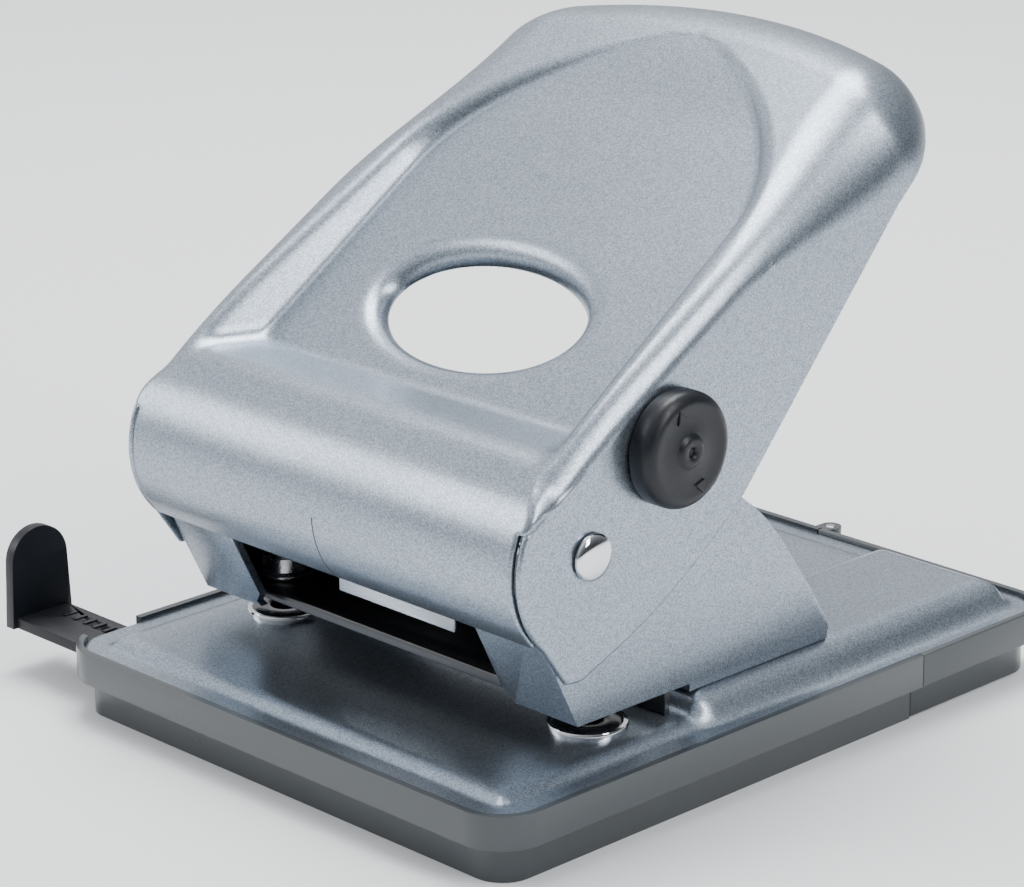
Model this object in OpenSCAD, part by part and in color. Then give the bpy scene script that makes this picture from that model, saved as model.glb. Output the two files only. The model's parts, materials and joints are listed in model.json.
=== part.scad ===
// Two-hole desk punch with a long pressed-steel lever. Millimetres.
// Z is up, X runs across the punch, the front faces -Y, and the origin lies on the desk
// under the middle of the tray. Everything is drawn at rest, with the lever up.

/* [Base] */
// Width of the tray over its rim
base_w = 118.5; // [116:0.5:140]
// Depth of the tray over its rim
base_d = 145.5; // [142:0.5:170]
// Height of the tray's rim above the desk
rim_h = 13.2; // [13:0.1:18]
// How far the rim stands out from the tray's wall
rim_out = 3; // [2:0.5:4]
// Outside corner radius of the tray's wall
corner_r = 6; // [5:0.5:16]
// Wall and floor thickness of the tray
tray_t = 2; // [1.6:0.1:3]
// Sheet thickness of the base plate
plate_t = 1.5; // [1:0.1:2]
// Width of the flat border round the base plate
border_w = 3.5; // [2.5:0.5:6]
// Height of the rear deck above the paper table
deck_rise = 3.8; // [2:0.1:5]
// Width of the trough down the middle of the rear deck
trough_w = 40; // [30:1:60]

/* [Punching] */
// Spacing of the two punched holes, a paper-filing standard
hole_pitch = 80; // [80:1:80]
// Distance from the edge of the paper to the hole centres
paper_margin = 12; // [11:0.5:13]
// Position of the punches, front to back
punch_y = -33.5; // [-38:0.5:-30]
// Diameter of a punched hole
punch_d = 5.5; // [5:0.1:6.5]
// Height of the slot the paper goes into
throat = 4.2; // [2:0.1:5]
// Diameter of a die's black disc
die_d = 14.4; // [12:0.1:18]
// How far a die stands above the paper table
die_rise = 1.2; // [0.6:0.1:2]

/* [Lever] */
// Width of the lever over its side walls
lever_w = 102.6; // [96:0.2:104]
// Length of the lever behind its pivot
lever_l = 119; // [100:0.5:130]
// Rest angle of the lever's top above level
rest_angle = 30.5; // [24:0.5:34]
// How far the lever turns down in one stroke
stroke_angle = 30; // [24:1:32]
// Sheet thickness of the lever
lever_t = 1.3; // [1:0.1:1.8]
// Outside radius of the rolled nose
nose_r = 18.7; // [17:0.1:22]
// Height of the shoulders above the pivot, square to the top
shoulder_h = 18.3; // [16:0.1:22]
// Radius of the fold along each shoulder
fold_r = 5; // [3:0.5:7]
// Radius of the roll round the rear end
roll_r = 15; // [8:0.5:16]
// Radius of the rear corners, seen from above
lever_corner_r = 16; // [15:1:32]
// Length of the finger hole, across the lever
oval_w = 46.8; // [30:0.2:56]
// Width of the finger hole, along the lever
oval_l = 24.8; // [18:0.2:30]

/* [Frame] */
// Height of the pivot above the desk
pivot_z = 50.4; // [48:0.1:54]
// Position of the pivot, front to back
pivot_y = -43.8; // [-48:0.1:-42]
// Sheet thickness of the frame
frame_t = 1.5; // [1.2:0.1:2]
// Gap between the lever's side walls and the frame
wall_gap = 1; // [0.8:0.1:1.4]
// Diameter of the pivot pin
pivot_d = 5; // [4:0.5:6]
// Diameter of the domed head on the pivot pin
dome_d = 8.4; // [8:0.1:12]

/* [Lock] */
// Diameter of the lock knob
knob_d = 20.5; // [16:0.5:24]
// How far the lock knob stands out
knob_h = 5; // [4:0.5:8]
// Diameter of the lock shaft
shaft_d = 9; // [7:0.5:10]
// Size of the lock shaft over its two flats
flats = 6; // [4:0.5:7]

/* [Paper guide] */
// How far the guide's tab stands out from the tray's rim
guide_reach = 20.5; // [2:0.5:60]
// Height of the guide's tab above the desk
tab_h = 27.5; // [20:0.5:40]
// Width of the guide's bar
guide_w = 12; // [8:0.5:14]

/* [Hidden] */
e = 0.01;                                // overlap of cuts
fit = 0.02;                              // radial gap of a fixed fit
run = 0.05;                              // radial gap of a running fit
clear = 0.4;                             // gap between pieces that move apart
table_z = rim_h + 0.8;                   // top of the paper table
deck_z = table_z + deck_rise;            // top of the rear deck
die_z = table_z + die_rise;              // top of the dies
frame_z = die_z + throat;                // underside of the frame
stop_y = punch_y + paper_margin;         // face that stops the paper
hx = hole_pitch / 2;
wall_w = base_w - 2 * rim_out;           // tray over its wall
wall_d = base_d - 2 * rim_out;
rim_t = 1.4;                             // thickness of the rim
rim_low = rim_h - 6.2;                   // underside of the rim
plate_gap = 0.1;                         // base plate to rim
plate_w = base_w - 2 * rim_t - 2 * plate_gap;
plate_d = base_d - 2 * rim_t - 2 * plate_gap;
border_z = rim_h - 0.8;                  // top of the plate's flat border
ledge_z = border_z - plate_t;            // ledge that carries the plate
lw = lever_w / 2;
in_x = lw - lever_t;                     // inner face of the lever's walls
out_x = in_x - wall_gap;                 // outer face of the frame's walls
frame_x = out_x - frame_t;               // inner face of the frame's walls
end_y = lever_l - lever_corner_r;        // centres of the rear corners
nose_y = 1.1;                            // centre of the nose roll
nose_z = shoulder_h - nose_r - 1.3;
lip_z = nose_z - 4.5;                    // lower edge of the nose sheet
slit_z = shoulder_h - 4.7;               // top of the slits beside the nose
slit_w = 0.5;
floor_y = 15;                            // front edge of the recessed panel
floor_z = shoulder_h - 7.4;              // recessed panel at its front edge
floor_s = 0.075;                         // rise of the panel along the lever
oval_y = 34.5;                           // middle of the finger hole
arm = (punch_y - pivot_y) / cos(stroke_angle / 2);
bar_r = 3.5;                             // press bar
bar_a = stroke_angle / 2 - rest_angle;   // its direction seen from the pivot
bar_y = arm * cos(bar_a);
bar_z = arm * sin(bar_a);
head_z = pivot_z + arm * sin(stroke_angle / 2) - bar_r - 0.06;   // top of a punch
tip_z = frame_z + 0.5;                   // cutting edge of a punch at rest
web_z = frame_z + 14.6;                  // underside of the bridge's upper web
web_t = 2;                               // bridge's lower and upper webs
bridge_d = 17.5;                         // bridge, front to back
lip_rise = 7.6;                          // lower edge of the bridge's front lip
stem_d = 9;                              // stem of a die, in the base plate
guide_d = 8;                             // punch bush, in the bridge's lower web
flange_d = 11;                           // its flange
head_d = 10;                             // head of a punch
head_h = 2;
seat_d = 11;                             // spring seat under the head
seat_t = 1;
spring_r = 4.6;                          // middle of the return spring's wire
wire_d = 0.9;
screw_x = 37;                            // screws through the frame's feet
screw_y = [-11, 8];
screw_d = 4;
nut_h = 3.2;
foot_x = 27;                             // inner edge of a foot
foot_y = -17;                            // its front end
rivet_x = 12;                            // rivets of the paper stop
rivet_y = stop_y + 6;
rivet_d = 3;
stop_t = 1.2;                            // sheet of the paper stop
bush_d = pivot_d + 1.6;                  // bush in a wall of the lever
collar_d = 11;                           // its collar between the walls
dome_h = 1.7;                            // head of the pin
dome_r = (dome_d * dome_d / 4 + dome_h * dome_h) / (2 * dome_h);
// depth of the pin's end in its cap, under the dome
cap_seat = min(0.9, sqrt(dome_r * dome_r - pivot_d * pivot_d / 4) - dome_r + dome_h - 0.25);
head_gap = 0.3;                          // pin heads and knob to the lever's wall
lock_y = 23.6;                           // lock shaft, seen from the pivot
lock_z = 3.5;
lock_r = sqrt(lock_y * lock_y + lock_z * lock_z);
lock_a = rest_angle + atan2(lock_z, lock_y) - stroke_angle;      // when pressed down
hatch_y = base_d / 2 - 39.2;             // front seam of the corner hatch
pin_y = base_d / 2 + 2.6;                // hatch hinge axis
hinge_d = 2;                             // hatch pin
knuckle_d = 4.4;                         // round the pin
guide_t = 2;                             // guide's bar
tab_t = 2.2;                             // its tab
saddle_t = 1.2;
bar_lo = ledge_z - guide_t - clear;      // underside of the guide's bar
bar_end = wall_w / 2 - corner_r - guide_reach;   // its inner end, clear of the tray's corner
tail_d = 6;                              // lock shaft inside the knob
tail_l = knob_h - 2;
tab_x = -base_w / 2 - guide_reach;       // inner face of the guide's tab
guide_y = -wall_d / 2 + tray_t + 1.3;    // front edge of the guide's bar
steel = [0.62, 0.66, 0.71];
bright = [0.80, 0.81, 0.83];
dark = [0.13, 0.14, 0.16];
black = [0.07, 0.08, 0.09];
smoke = [0.30, 0.33, 0.35];

// ---- helpers
module rrect(w, d, r) {
  square([w - 2 * r, d], center = true);
  square([w, d - 2 * r], center = true);
  for (sx = [-1, 1]) for (sy = [-1, 1])
    translate([sx * (w / 2 - r), sy * (d / 2 - r)]) circle(r = r, $fn = 64);
}
// a slab whose edges slope in from its foot to its top, as a pressed panel's do
module pressed(x0, x1, y0, y1, z0, z1, sx0, sx1, sy0, sy1, r) {
  hull() {
    for (x = [x0 + r, x1 - r]) for (y = [y0 + r, y1 - r])
      translate([x, y, z0 - 0.02]) cylinder(r = r, h = 0.02, $fn = 32);
    for (x = [x0 + sx0 + r, x1 - sx1 - r]) for (y = [y0 + sy0 + r, y1 - sy1 - r])
      translate([x, y, z1 - 0.02]) cylinder(r = r, h = 0.02, $fn = 32);
  }
}
// along X, from a profile drawn in Y and Z
module across(x0, x1) {
  translate([x0, 0, 0]) rotate([90, 0, 90]) linear_extrude(x1 - x0) children();
}
module at_lever() {
  translate([0, pivot_y, pivot_z]) rotate([rest_angle, 0, 0]) children();
}
module xcyl(x0, x1, r) {
  translate([x0, 0, 0]) rotate([0, 90, 0]) cylinder(r = r, h = x1 - x0, $fn = 64);
}
module dome(x, s) {
  intersection() {
    translate([x - s * (dome_r - dome_h), 0, 0]) sphere(r = dome_r, $fn = 64);
    xcyl(min(x, x + s * dome_h), max(x, x + s * dome_h) + e, dome_d / 2);
  }
}

// ---- tray
module tray_full() {
  difference() {
    union() {
      linear_extrude(rim_h - 0.4) rrect(wall_w, wall_d, corner_r);
      translate([0, 0, rim_low]) linear_extrude(rim_h - rim_low)
        rrect(base_w, base_d, corner_r + rim_out);
      for (k = [-1, 1]) knuckle(k);
    }
    translate([0, 0, tray_t]) linear_extrude(rim_h)
      rrect(wall_w - 2 * tray_t, wall_d - 2 * tray_t, corner_r - tray_t);
    translate([0, 0, ledge_z]) linear_extrude(rim_h)
      rrect(base_w - 2 * rim_t, base_d - 2 * rim_t, corner_r + rim_out - rim_t);
    // notch for the paper guide
    translate([-base_w / 2 - 1, guide_y - clear, bar_lo - clear])
      cube([rim_out + corner_r + 1, guide_w + 2 * clear, rim_h]);
  }
}
module knuckle(k) {
  z0 = rim_low;
  h = (rim_h - rim_low - 0.2) / 3;
  zs = k > 0 ? [z0 + h] : [z0, z0 + 2 * h];
  for (z = zs) translate([0, 0, z + 0.1]) difference() {
    union() {
      translate([0, pin_y, 0]) cylinder(d = knuckle_d, h = h - 0.2, $fn = 48);
      translate([k > 0 ? 0.3 : -2.2, base_d / 2 - 0.7, 0])
        cube([1.9, pin_y - base_d / 2 + 0.7, h - 0.2]);
    }
    translate([0, pin_y, -1]) cylinder(d = hinge_d + 2 * run, h = h + 2, $fn = 48);
  }
}
module tray_ribs(y) {
  for (s = [-1, 1]) translate([s * (wall_w / 2 - tray_t - 1.4 * (s > 0 ? 1 : 0)), y, tray_t - e])
    cube([1.4, 1.5, ledge_z - tray_t]);
}
module hatch_zone(gap) {
  translate([gap / 2, hatch_y + gap / 2, -1]) cube([base_w, base_d, rim_h + 2]);
}
module chip_tray() {
  color(smoke) {
    difference() {
      tray_full();
      difference() {
        hatch_zone(0);
        translate([0, 0, -2]) linear_extrude(rim_h + 4)
          rrect(wall_w - 2 * tray_t - 0.6, wall_d - 2 * tray_t - 0.6, corner_r - tray_t);
        translate([-5, pin_y - 2.3, 0]) cube([5 + e, 6, rim_h + 2]);
        for (z = [0, 2]) translate([0, pin_y, rim_low + z * (rim_h - rim_low - 0.2) / 3])
          cylinder(d = knuckle_d + 0.2, h = (rim_h - rim_low - 0.2) / 3, $fn = 48);
      }
      translate([0, pin_y, rim_low + (rim_h - rim_low - 0.2) / 3])
        cylinder(d = knuckle_d + 0.6, h = (rim_h - rim_low - 0.2) / 3, $fn = 48);
    }
    for (y = [-wall_d / 2 + 28, 0]) tray_ribs(y);
  }
}
module tray_hatch() {
  color(smoke) {
    difference() {
      intersection() {
        tray_full();
        hatch_zone(clear);
        translate([-base_w, -base_d, 0.3]) cube([2 * base_w, 2 * base_d, rim_h]);
      }
      translate([0, 0, -2]) linear_extrude(rim_h + 4)
        rrect(wall_w - 2 * tray_t, wall_d - 2 * tray_t, corner_r - tray_t);
      for (z = [0, 2]) translate([0, pin_y, rim_low + z * (rim_h - rim_low - 0.2) / 3 - e])
        cylinder(d = knuckle_d + 0.6, h = (rim_h - rim_low - 0.2) / 3 + 0.1, $fn = 48);
      translate([-3, pin_y - 1, 0]) cube([9, 6, rim_h + 1]);
    }
    knuckle(1);
    translate([wall_w / 2 - tray_t - 1.4, hatch_y + 17.5, tray_t + 0.3])
      cube([1.5, 1.5, ledge_z - tray_t - 0.6]);
  }
}
module hatch_pin() {
  color(bright) translate([0, pin_y, rim_low - 0.2]) {
    cylinder(d = hinge_d, h = rim_h - rim_low, $fn = 48);
    translate([0, 0, -0.8]) cylinder(d = hinge_d + 1.2, h = 0.9, $fn = 48);
  }
}

// ---- base plate and what is fixed to it
module plate_skin(d) {
  // d moves the whole skin inwards and down, for the underside of the sheet
  x = plate_w / 2 - border_w;
  y = plate_d / 2 - border_w;
  pressed(-x + d, x - d, -y + d, y - d, border_z - d - 1, table_z - d, 2, 2, 2, 2, corner_r - 3);
  for (s = [0, 1]) mirror([s, 0, 0])
    pressed(trough_w / 2 + d, x - d, stop_y + 2 + d, y - d, border_z - d, deck_z - d,
      deck_rise, deck_rise - 0.4, 0.8, deck_rise, corner_r - 3);
}
module base_plate() {
  color(steel) difference() {
    union() {
      translate([0, 0, ledge_z]) linear_extrude(plate_t)
        rrect(plate_w, plate_d, corner_r + rim_out - rim_t - plate_gap);
      plate_skin(0);
    }
    difference() {
      plate_skin(plate_t);
      translate([-base_w / 2, -base_d / 2, -9]) cube([base_w, base_d, ledge_z + 9 - e]);
    }
    for (s = [-1, 1]) translate([s * hx, punch_y, 0]) cylinder(d = stem_d, h = 40, $fn = 48);
    for (s = [-1, 1]) for (y = screw_y) translate([s * screw_x, y, 0])
      cylinder(d = screw_d + clear, h = 40, $fn = 48);
    for (s = [-1, 1]) translate([s * rivet_x, rivet_y, 0])
      cylinder(d = rivet_d, h = 40, $fn = 48);
  }
}

module die(s) {
  color(dark) translate([s * hx, punch_y, 0]) difference() {
    union() {
      translate([0, 0, table_z]) rotate_extrude($fn = 96) polygon([[0, 0], [die_d / 2 - 0.5, 0],
        [die_d / 2, 0.35], [die_d / 2, die_rise - 0.3], [die_d / 2 - 0.3, die_rise],
        [0, die_rise]]);
      translate([0, 0, table_z - 4]) cylinder(d = stem_d - 2 * fit, h = 4 + e, $fn = 48);
    }
    cylinder(d = punch_d + 2 * run, h = 40, $fn = 48);
  }
}
module paper_stop() {
  color(dark) difference() {
    union() {
      translate([-out_x + 2, stop_y, table_z])
        cube([2 * (out_x - 2), stop_t, throat + die_rise - 0.3]);
      translate([-trough_w / 2 + 4, stop_y, table_z]) cube([trough_w - 8, 10, stop_t]);
    }
    for (s = [-1, 1]) translate([s * rivet_x, rivet_y, 0])
      cylinder(d = rivet_d, h = 40, $fn = 48);
  }
}
module stop_rivets() {
  color(bright) for (s = [-1, 1]) translate([s * rivet_x, rivet_y, table_z - plate_t - 1]) {
    cylinder(d = rivet_d - 2 * fit, h = plate_t + stop_t + 1.3, $fn = 48);
    cylinder(d = rivet_d + 2, h = 1, $fn = 48);
    translate([0, 0, plate_t + stop_t + 1]) cylinder(d = rivet_d + 2, h = 0.8, $fn = 48);
  }
}

// ---- frame
fy = pivot_y - 1;                        // foot of the slanting front flanges
leaf_x = 32;                             // their inner edge
leaf_z = frame_z + 20.6;                 // their top
function leaf(z) = fy - (z - frame_z) * 7.5 / 15.4;
module side_outline(slot) {
  difference() {
    union() {
      polygon(concat([[fy, frame_z], [leaf(leaf_z), leaf_z]],
        [for (p = [[-11.1, -3.4], [-7.7, 8.1], [0, 12], [17.3, 11.1], [26.3, 12.2], [30.5, 11.2],
          [34.1, 7.6], [36.9, 3.6], [39.3, 0.2], [42.5, -2.3], [45.5, -5.1], [49.5, -9.8]])
          [pivot_y + p[0], pivot_z + p[1]]],
        [for (p = [[55, 13.5], [59.2, 7.2], [61.9, 2.9], [62.7, 1.2], [62.7, 0]])
          [pivot_y + p[0], frame_z + p[1]]]));
      translate([pivot_y, pivot_z]) circle(r = 12, $fn = 96);
    }
    translate([pivot_y, pivot_z]) circle(d = pivot_d + 2 * fit, $fn = 48);
    if (slot) {
      translate([pivot_y, pivot_z]) {
        rotate(lock_a) translate([lock_r, 0]) circle(r = shaft_d / 2 + clear, $fn = 64);
        intersection() {
          difference() {
            circle(r = lock_r + flats / 2 + clear, $fn = 96);
            circle(r = lock_r - flats / 2 - clear, $fn = 96);
          }
          polygon([[0, 0], [60 * cos(lock_a), 60 * sin(lock_a)], [60 * cos(70), 60 * sin(70)]]);
        }
      }
      // a wide mouth
      translate([pivot_y, pivot_z]) polygon([[13, 9.5], [13, 30], [30, 30], [30, 14.6],
        [22.6, 8.8]]);
    }
  }
}
module frame() {
  color(steel) {
    across(frame_x, out_x) side_outline(true);
    across(-out_x, -frame_x) side_outline(false);
    for (s = [0, 1]) mirror([s, 0, 0]) {
      // slanting front flange
      difference() {
        across(leaf_x, out_x) polygon([[fy, frame_z], [leaf(leaf_z), leaf_z],
          [leaf(leaf_z) + frame_t * 1.11, leaf_z], [fy + frame_t * 1.11, frame_z]]);
        translate([leaf_x, fy - 10, frame_z]) rotate([0, 45, 0])
          translate([-3, 0, -3]) cube([4, 20, 5.2]);
      }
      // foot, turned in at the bottom of the wall
      difference() {
        translate([foot_x, foot_y, deck_z])
          cube([frame_x + 1.2 - foot_x, pivot_y + 62.7 - foot_y, frame_z - deck_z + 0.8]);
        for (y = screw_y) translate([screw_x, y, 0])
          cylinder(d = screw_d + clear, h = 40, $fn = 48);
        translate([20, -40, deck_z + frame_t]) cube([frame_x - 20, 80, 5]);
      }
    }
  }
}
module bridge() {
  y0 = punch_y - 8;
  color(dark) difference() {
    translate([-frame_x, y0, frame_z]) cube([2 * frame_x, bridge_d, web_z + web_t - frame_z]);
    translate([-frame_x + 1.2, y0 - 1, frame_z + web_t])
      cube([2 * frame_x - 2.4, bridge_d - web_t + 1, web_z - frame_z - web_t]);
    for (s = [-1, 1]) translate([s * hx, punch_y, 0]) {
      cylinder(d = guide_d, h = frame_z + web_t + 1, $fn = 48);
      cylinder(d = punch_d + 2 * run, h = 80, $fn = 48);
    }
  }
}
module centre_lip() {
  color(bright) translate([-14, punch_y - 9.2, frame_z + lip_rise])
    cube([30.5, 1.2, web_z + web_t - frame_z - lip_rise]);
}
module guide_bush(s) {
  color(bright) translate([s * hx, punch_y, frame_z]) difference() {
    union() {
      cylinder(d = guide_d - 2 * fit, h = web_t + 4, $fn = 48);
      translate([0, 0, web_t]) cylinder(d = flange_d, h = 1, $fn = 48);
    }
    translate([0, 0, -1]) cylinder(d = punch_d + 2 * run, h = 10, $fn = 48);
  }
}
module frame_screws() {
  color(bright) for (s = [-1, 1]) for (y = screw_y)
    translate([s * screw_x, y, deck_z + frame_t]) {
      translate([0, 0, -7]) cylinder(d = screw_d, h = 7 + e, $fn = 48);
      difference() {
        cylinder(d = screw_d + 3.4, h = 2, $fn = 48);
        translate([-2.2, -0.5, 1.2]) cube([4.4, 1, 2]);
        translate([-0.5, -2.2, 1.2]) cube([1, 4.4, 2]);
      }
    }
}
module frame_nuts() {
  color(bright) for (s = [-1, 1]) for (y = screw_y)
    translate([s * screw_x, y, deck_z - plate_t - nut_h]) difference() {
      cylinder(d = screw_d + 3.8, h = nut_h, $fn = 6);
      translate([0, 0, -1]) cylinder(d = screw_d + 2 * fit, h = nut_h + 2, $fn = 48);
    }
}

// ---- pivot
module pivot_pin() {
  color(bright) translate([0, pivot_y, pivot_z]) {
    xcyl(-lw - head_gap - cap_seat, lw + head_gap + e, pivot_d / 2);
    dome(lw + head_gap, 1);
  }
}
module pivot_cap() {
  color(bright) translate([0, pivot_y, pivot_z]) difference() {
    dome(-lw - head_gap, -1);
    xcyl(-lw - head_gap - cap_seat, -lw + 1, pivot_d / 2 + fit);
  }
}
module pivot_bushes() {
  color(dark) for (s = [0, 1]) mirror([s, 0, 0]) translate([0, pivot_y, pivot_z]) difference() {
    union() {
      xcyl(out_x, out_x + wall_gap - 0.1, collar_d / 2);
      xcyl(out_x, lw + 0.2, bush_d / 2);
    }
    xcyl(out_x - 1, lw + 2, pivot_d / 2 + fit);
  }
}

// ---- lever
module lever_skin(d) {
  // d = 0 is the outside of the sheet, d = lever_t its inside
  hull() {
    for (k = [0, 0.9]) translate([0, nose_y, nose_z]) rotate([0, 90, 0])
      cylinder(r = nose_r - d - k, h = lever_w - 2 * d - 3 + 3.3 * k, center = true, $fn = 96);
    for (s = [-1, 1]) for (y = [nose_y + 8, 58])
      translate([s * (lw - fold_r), y, shoulder_h - fold_r]) sphere(r = fold_r - d, $fn = 32);
    for (k = [-2 : 2]) translate([k / 2 * (lw - lever_corner_r), end_y - abs(k) * abs(k) * 0.7, 0]) {
      translate([0, 0, shoulder_h - roll_r]) rotate_extrude($fn = 48)
        translate([lever_corner_r - roll_r, 0]) intersection() {
          circle(r = roll_r - d, $fn = 48);
          translate([0, -roll_r]) square(2 * roll_r);
        }
      translate([0, 0, -30]) cylinder(r = lever_corner_r - d, h = 1, $fn = 48);
    }
    translate([-lw + d, nose_y - nose_r + d + 0.9, -30]) cube([lever_w - 2 * d, 20, 1]);
  }
}
// half width of the recessed panel, y along the lever
function panel_w(y) = lw - (y < 60 ? 9.6 + 1.7 * (y - floor_y) / 45
  : 11.3 + (lw - 11.3) * (1 - pow(1 - pow((y - 60) / 43, 2), 0.8)));
function panel_z(y) = floor_z + floor_s * (y - floor_y) + 0.0055 * pow(max(0, y - 84), 2);
module panel(d) {
  top = shoulder_h + 4;
  k = 1.17 * d;
  ys = [floor_y, 30, 45, 60, 65, 70, 75, 80, 84, 88, 91, 94, 97, 99, 101, 102.2];
  rows = concat([[floor_y - (top - floor_z) / 0.6, top - 0.1, panel_w(floor_y) + 0.6 * (top - floor_z)]],
    [for (y = ys) [y, panel_z(y), panel_w(y)]]);
  n = len(rows);
  pts = [for (r = rows) each [[-r[2] - k, r[0], r[1] - k], [r[2] + k, r[0], r[1] - k],
    [r[2] + k + 0.6 * (top - r[1]), r[0], top], [-r[2] - k - 0.6 * (top - r[1]), r[0], top]]];
  sides = [for (i = [0 : n - 2]) for (j = [0 : 3]) each
    [[4 * i + j, 4 * i + (j + 1) % 4, 4 * i + 4 + (j + 1) % 4],
     [4 * i + j, 4 * i + 4 + (j + 1) % 4, 4 * i + 4 + j]]];
  polyhedron(points = pts, faces = concat(sides, [[3, 2, 1], [3, 1, 0]],
    [[4 * n - 4, 4 * n - 3, 4 * n - 2], [4 * n - 4, 4 * n - 2, 4 * n - 1]]));
}
module oval(d, h) {
  a = oval_w / 2 + d;
  b = oval_l / 2 + d;
  linear_extrude(h) polygon([for (i = [0 : 59]) [a * cos(6 * i), b * sin(6 * i)]]);
}
module lower_edge() {
  polygon(concat([[-60, 60], [-60, nose_z], [nose_y - nose_r - 0.2, nose_z],
    [nose_y - nose_r + 0.55, lip_z], [nose_y - nose_r + 1.3, -16.3]],
    [for (i = [0 : 10]) [-13 + 4.6 * i, -17.7 - 2.2 * sin(18 * i)]],
    [[lever_l - 29.5, 0.2], [lever_l - 22, 1.7], [lever_l - 14, 2.6], [lever_l + 9, 3.2],
     [lever_l + 9, 60]]));
}
module handle() {
  color(steel) at_lever() difference() {
    union() {
      difference() {
        intersection() {
          lever_skin(0);
          across(-lw - 1, lw + 1) lower_edge();
        }
        panel(0);
        difference() {
          lever_skin(lever_t);
          panel(lever_t);
        }
      }
      // turned-down lip of the finger hole
      translate([0, oval_y, panel_z(oval_y) - 4.5]) oval(1.3, 4);
    }
    translate([0, oval_y, -20]) oval(0, 60);
    // the nose sheet ends above the frame
    translate([-in_x, -60, -80]) cube([2 * in_x, 61, 80 + lip_z]);
    for (s = [-1, 1]) translate([s * (in_x - slit_w / 2) - slit_w / 2, -40, -60])
      cube([slit_w, 35.5, 60 + slit_z]);
    xcyl(-lw - 2, -in_x + 2, bush_d / 2 + run);
    xcyl(in_x - 2, lw + 2, bush_d / 2 + run);
    translate([0, lock_y, lock_z]) xcyl(in_x - 2, lw + 2, shaft_d / 2 + run);
  }
}
module press_bracket() {
  z = panel_z(floor_y) - 1.17 * lever_t - fit;
  color(steel) at_lever() difference() {
    union() {
      across(-44.5, 44.5) polygon([[bar_y - 1, bar_z], [bar_y - 1, z - 0.6], [11.6, z - 0.255],
        [19.5, z + 0.34], [19.5, z - 1.66], [bar_y + 1, z - 2.3], [bar_y + 1, bar_z]]);
      for (x = [-30, 0, 30]) across(x - 1, x + 1)
        polygon([[bar_y, bar_z + 5], [bar_y, z - 1], [18.5, z - 1]]);
    }
    translate([0, bar_y, bar_z]) xcyl(-50, 50, bar_r + fit);
  }
}
module press_bar() {
  color(bright) at_lever() translate([0, bar_y, bar_z]) xcyl(-45, 45, bar_r);
}

// ---- punches
module punch(s) {
  color(bright) translate([s * hx, punch_y, 0]) {
    difference() {
      translate([0, 0, tip_z]) cylinder(d = punch_d, h = head_z - head_h - tip_z + e, $fn = 48);
      // hollow-ground cutting edge
      rotate([90, 0, 0]) translate([0, tip_z, -8])
        linear_extrude(16) polygon([[-4, -1], [4, -1], [4, 0.05], [punch_d / 2, 0.05],
          [0, 0.95], [-punch_d / 2, 0.05], [-4, 0.05]]);
    }
    translate([0, 0, head_z - head_h]) cylinder(d = head_d, h = head_h, $fn = 48);
  }
}
module seat(s) {
  color(dark) translate([s * hx, punch_y, head_z - head_h - seat_t]) difference() {
    cylinder(d = seat_d, h = seat_t, $fn = 48);
    translate([0, 0, -1]) cylinder(d = punch_d + 2 * fit, h = 3, $fn = 48);
  }
}
module spring(s) {
  z0 = web_z + web_t;
  h = head_z - head_h - seat_t - z0;
  color(bright) translate([s * hx, punch_y, z0 + wire_d / 2 + e])
    coil(spring_r, h - wire_d - 2 * e, 3.5, wire_d / 2);
}
// round wire wound round Z
module coil(r, h, turns, t) {
  n = 14 * turns;
  m = 6;
  pts = [for (i = [0 : n]) for (j = [0 : m - 1]) let (a = 360 * i / 14, b = 360 * j / m)
    [(r + t * cos(b)) * cos(a), (r + t * cos(b)) * sin(a), h * i / n + t * sin(b)]];
  skin = [for (i = [0 : n - 1]) for (j = [0 : m - 1])
    [i * m + j, i * m + (j + 1) % m, (i + 1) * m + (j + 1) % m, (i + 1) * m + j]];
  polyhedron(points = pts, faces = concat(skin, [[for (j = [m - 1 : -1 : 0]) j]],
    [[for (j = [0 : m - 1]) n * m + j]]));
}

// ---- lock
module lock_knob() {
  color(black) at_lever() translate([lw + head_gap, lock_y, lock_z]) rotate([0, 90, 0]) difference() {
    union() {
      rotate_extrude($fn = 96) {
        square([knob_d / 2 - 1.6, knob_h]);
        square([knob_d / 2, knob_h - 1.6]);
        translate([knob_d / 2 - 1.6, knob_h - 1.6]) circle(r = 1.6, $fn = 48);
      }
      translate([0, 0, knob_h - e]) cylinder(d = 7, h = 0.5, $fn = 64);
      for (a = [20, 200]) rotate(a) translate([0, 7.4, knob_h - e])
        linear_extrude(0.25) polygon([[-1.1, -1], [1.1, -1], [0, 1.2]]);
    }
    translate([0, 0, knob_h]) cylinder(d = 1.8, h = 2, $fn = 48);
    translate([0, 0, -1]) cylinder(d = tail_d + 2 * fit, h = tail_l + 1.2, $fn = 48);
  }
}
module lock_shaft() {
  color(bright) at_lever() translate([0, lock_y, lock_z]) {
    xcyl(in_x - 0.7, lw + head_gap, shaft_d / 2);
    xcyl(in_x - 1, lw + tail_l, tail_d / 2);
    intersection() {
      xcyl(frame_x - 0.7, in_x - 0.6, shaft_d / 2);
      rotate([atan2(lock_z, lock_y), 0, 0])
        translate([frame_x - 2, -flats / 2, -shaft_d]) cube([10, flats, 2 * shaft_d]);
    }
  }
}
module lock_ring() {
  color(bright) at_lever() translate([0, lock_y, lock_z]) difference() {
    xcyl(in_x - 0.65, in_x - 0.1, 6.2);
    xcyl(in_x - 2, in_x + 1, shaft_d / 2 + fit);
  }
}

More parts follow.
